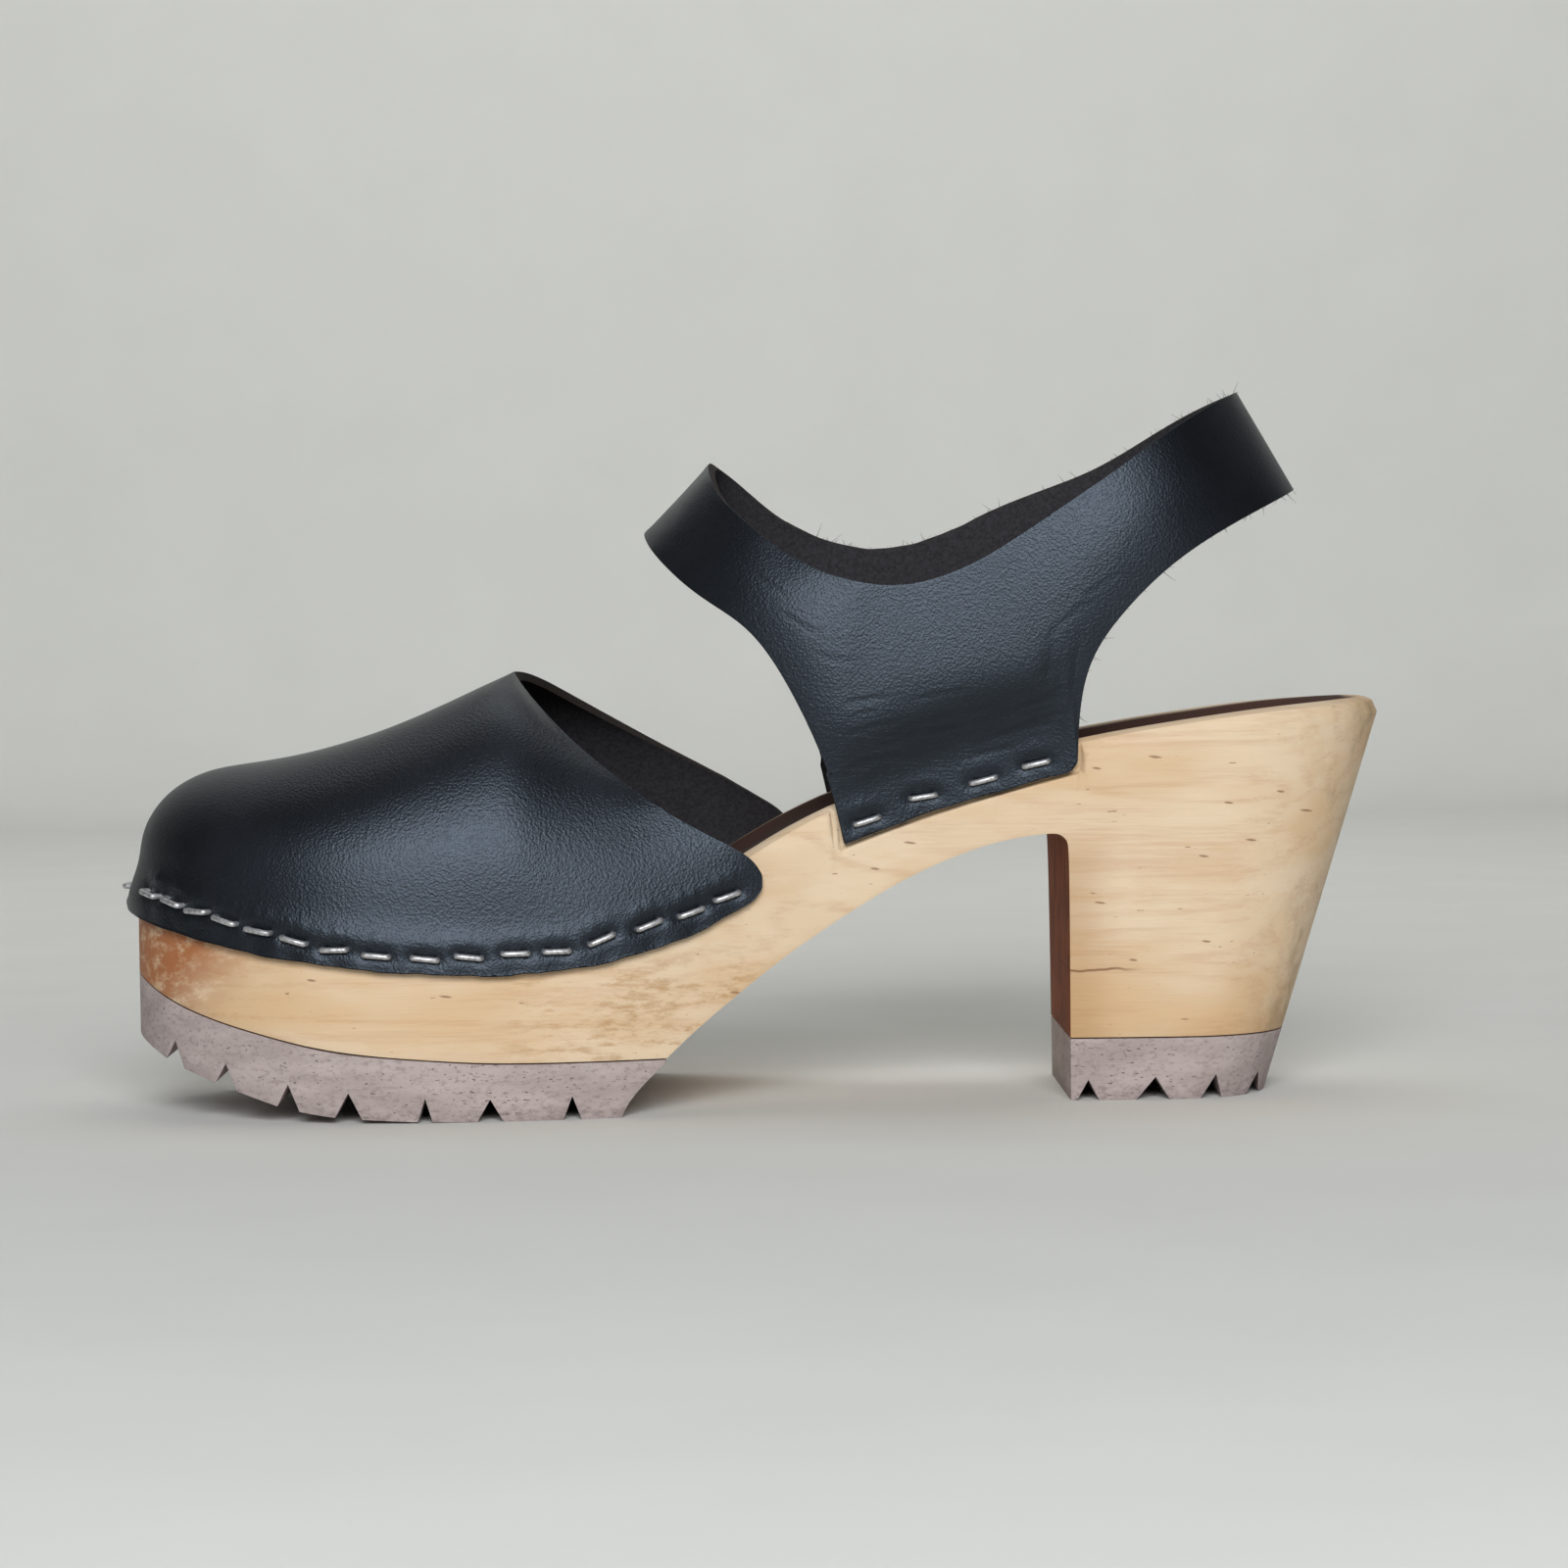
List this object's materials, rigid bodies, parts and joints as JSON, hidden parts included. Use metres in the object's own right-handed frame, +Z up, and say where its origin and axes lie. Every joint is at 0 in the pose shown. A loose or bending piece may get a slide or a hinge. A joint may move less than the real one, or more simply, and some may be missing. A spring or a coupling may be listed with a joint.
{
  "type": "heeled clog",
  "caption": "Heeled wooden clog with a closed leather vamp, a leather ankle strap and notched rubber treads.",
  "frame": {"origin": "on the ground under the middle of the shoe's box", "axes": "+X from toe to heel, -Y to the inner side of the foot, +Z up"},
  "size_m": [0.2548, 0.097, 0.1413],
  "materials": {
    "wood": "pale oiled alder, bare and lightly soiled",
    "rubber": "matt moulded crepe",
    "leather": "black full-grain, semi-matt",
    "wire": "bright zinc wire"
  },
  "bodies": {
    "root": {"clog_base": "wood", "forefoot_tread": "rubber", "heel_tread": "rubber", "vamp": "leather", "ankle_strap": "leather", "vamp_staple_01": "wire", "vamp_staple_02": "wire", "vamp_staple_03": "wire", "vamp_staple_04": "wire", "vamp_staple_05": "wire", "vamp_staple_06": "wire", "vamp_staple_07": "wire", "vamp_staple_08": "wire", "vamp_staple_09": "wire", "vamp_staple_10": "wire", "vamp_staple_11": "wire", "vamp_staple_12": "wire", "vamp_staple_13": "wire", "vamp_staple_14": "wire", "vamp_staple_15": "wire", "vamp_staple_16": "wire", "vamp_staple_17": "wire", "vamp_staple_18": "wire", "vamp_staple_19": "wire", "vamp_staple_20": "wire", "vamp_staple_21": "wire", "vamp_staple_22": "wire", "vamp_staple_23": "wire", "vamp_staple_24": "wire", "vamp_staple_25": "wire", "vamp_staple_26": "wire", "vamp_staple_27": "wire", "vamp_staple_28": "wire", "vamp_staple_29": "wire", "vamp_staple_30": "wire", "vamp_staple_31": "wire", "vamp_staple_32": "wire", "vamp_staple_33": "wire", "strap_staple_01": "wire", "strap_staple_02": "wire", "strap_staple_03": "wire", "strap_staple_04": "wire", "strap_staple_05": "wire", "strap_staple_06": "wire", "strap_staple_07": "wire", "strap_staple_08": "wire"}
  },
  "joints": []
}
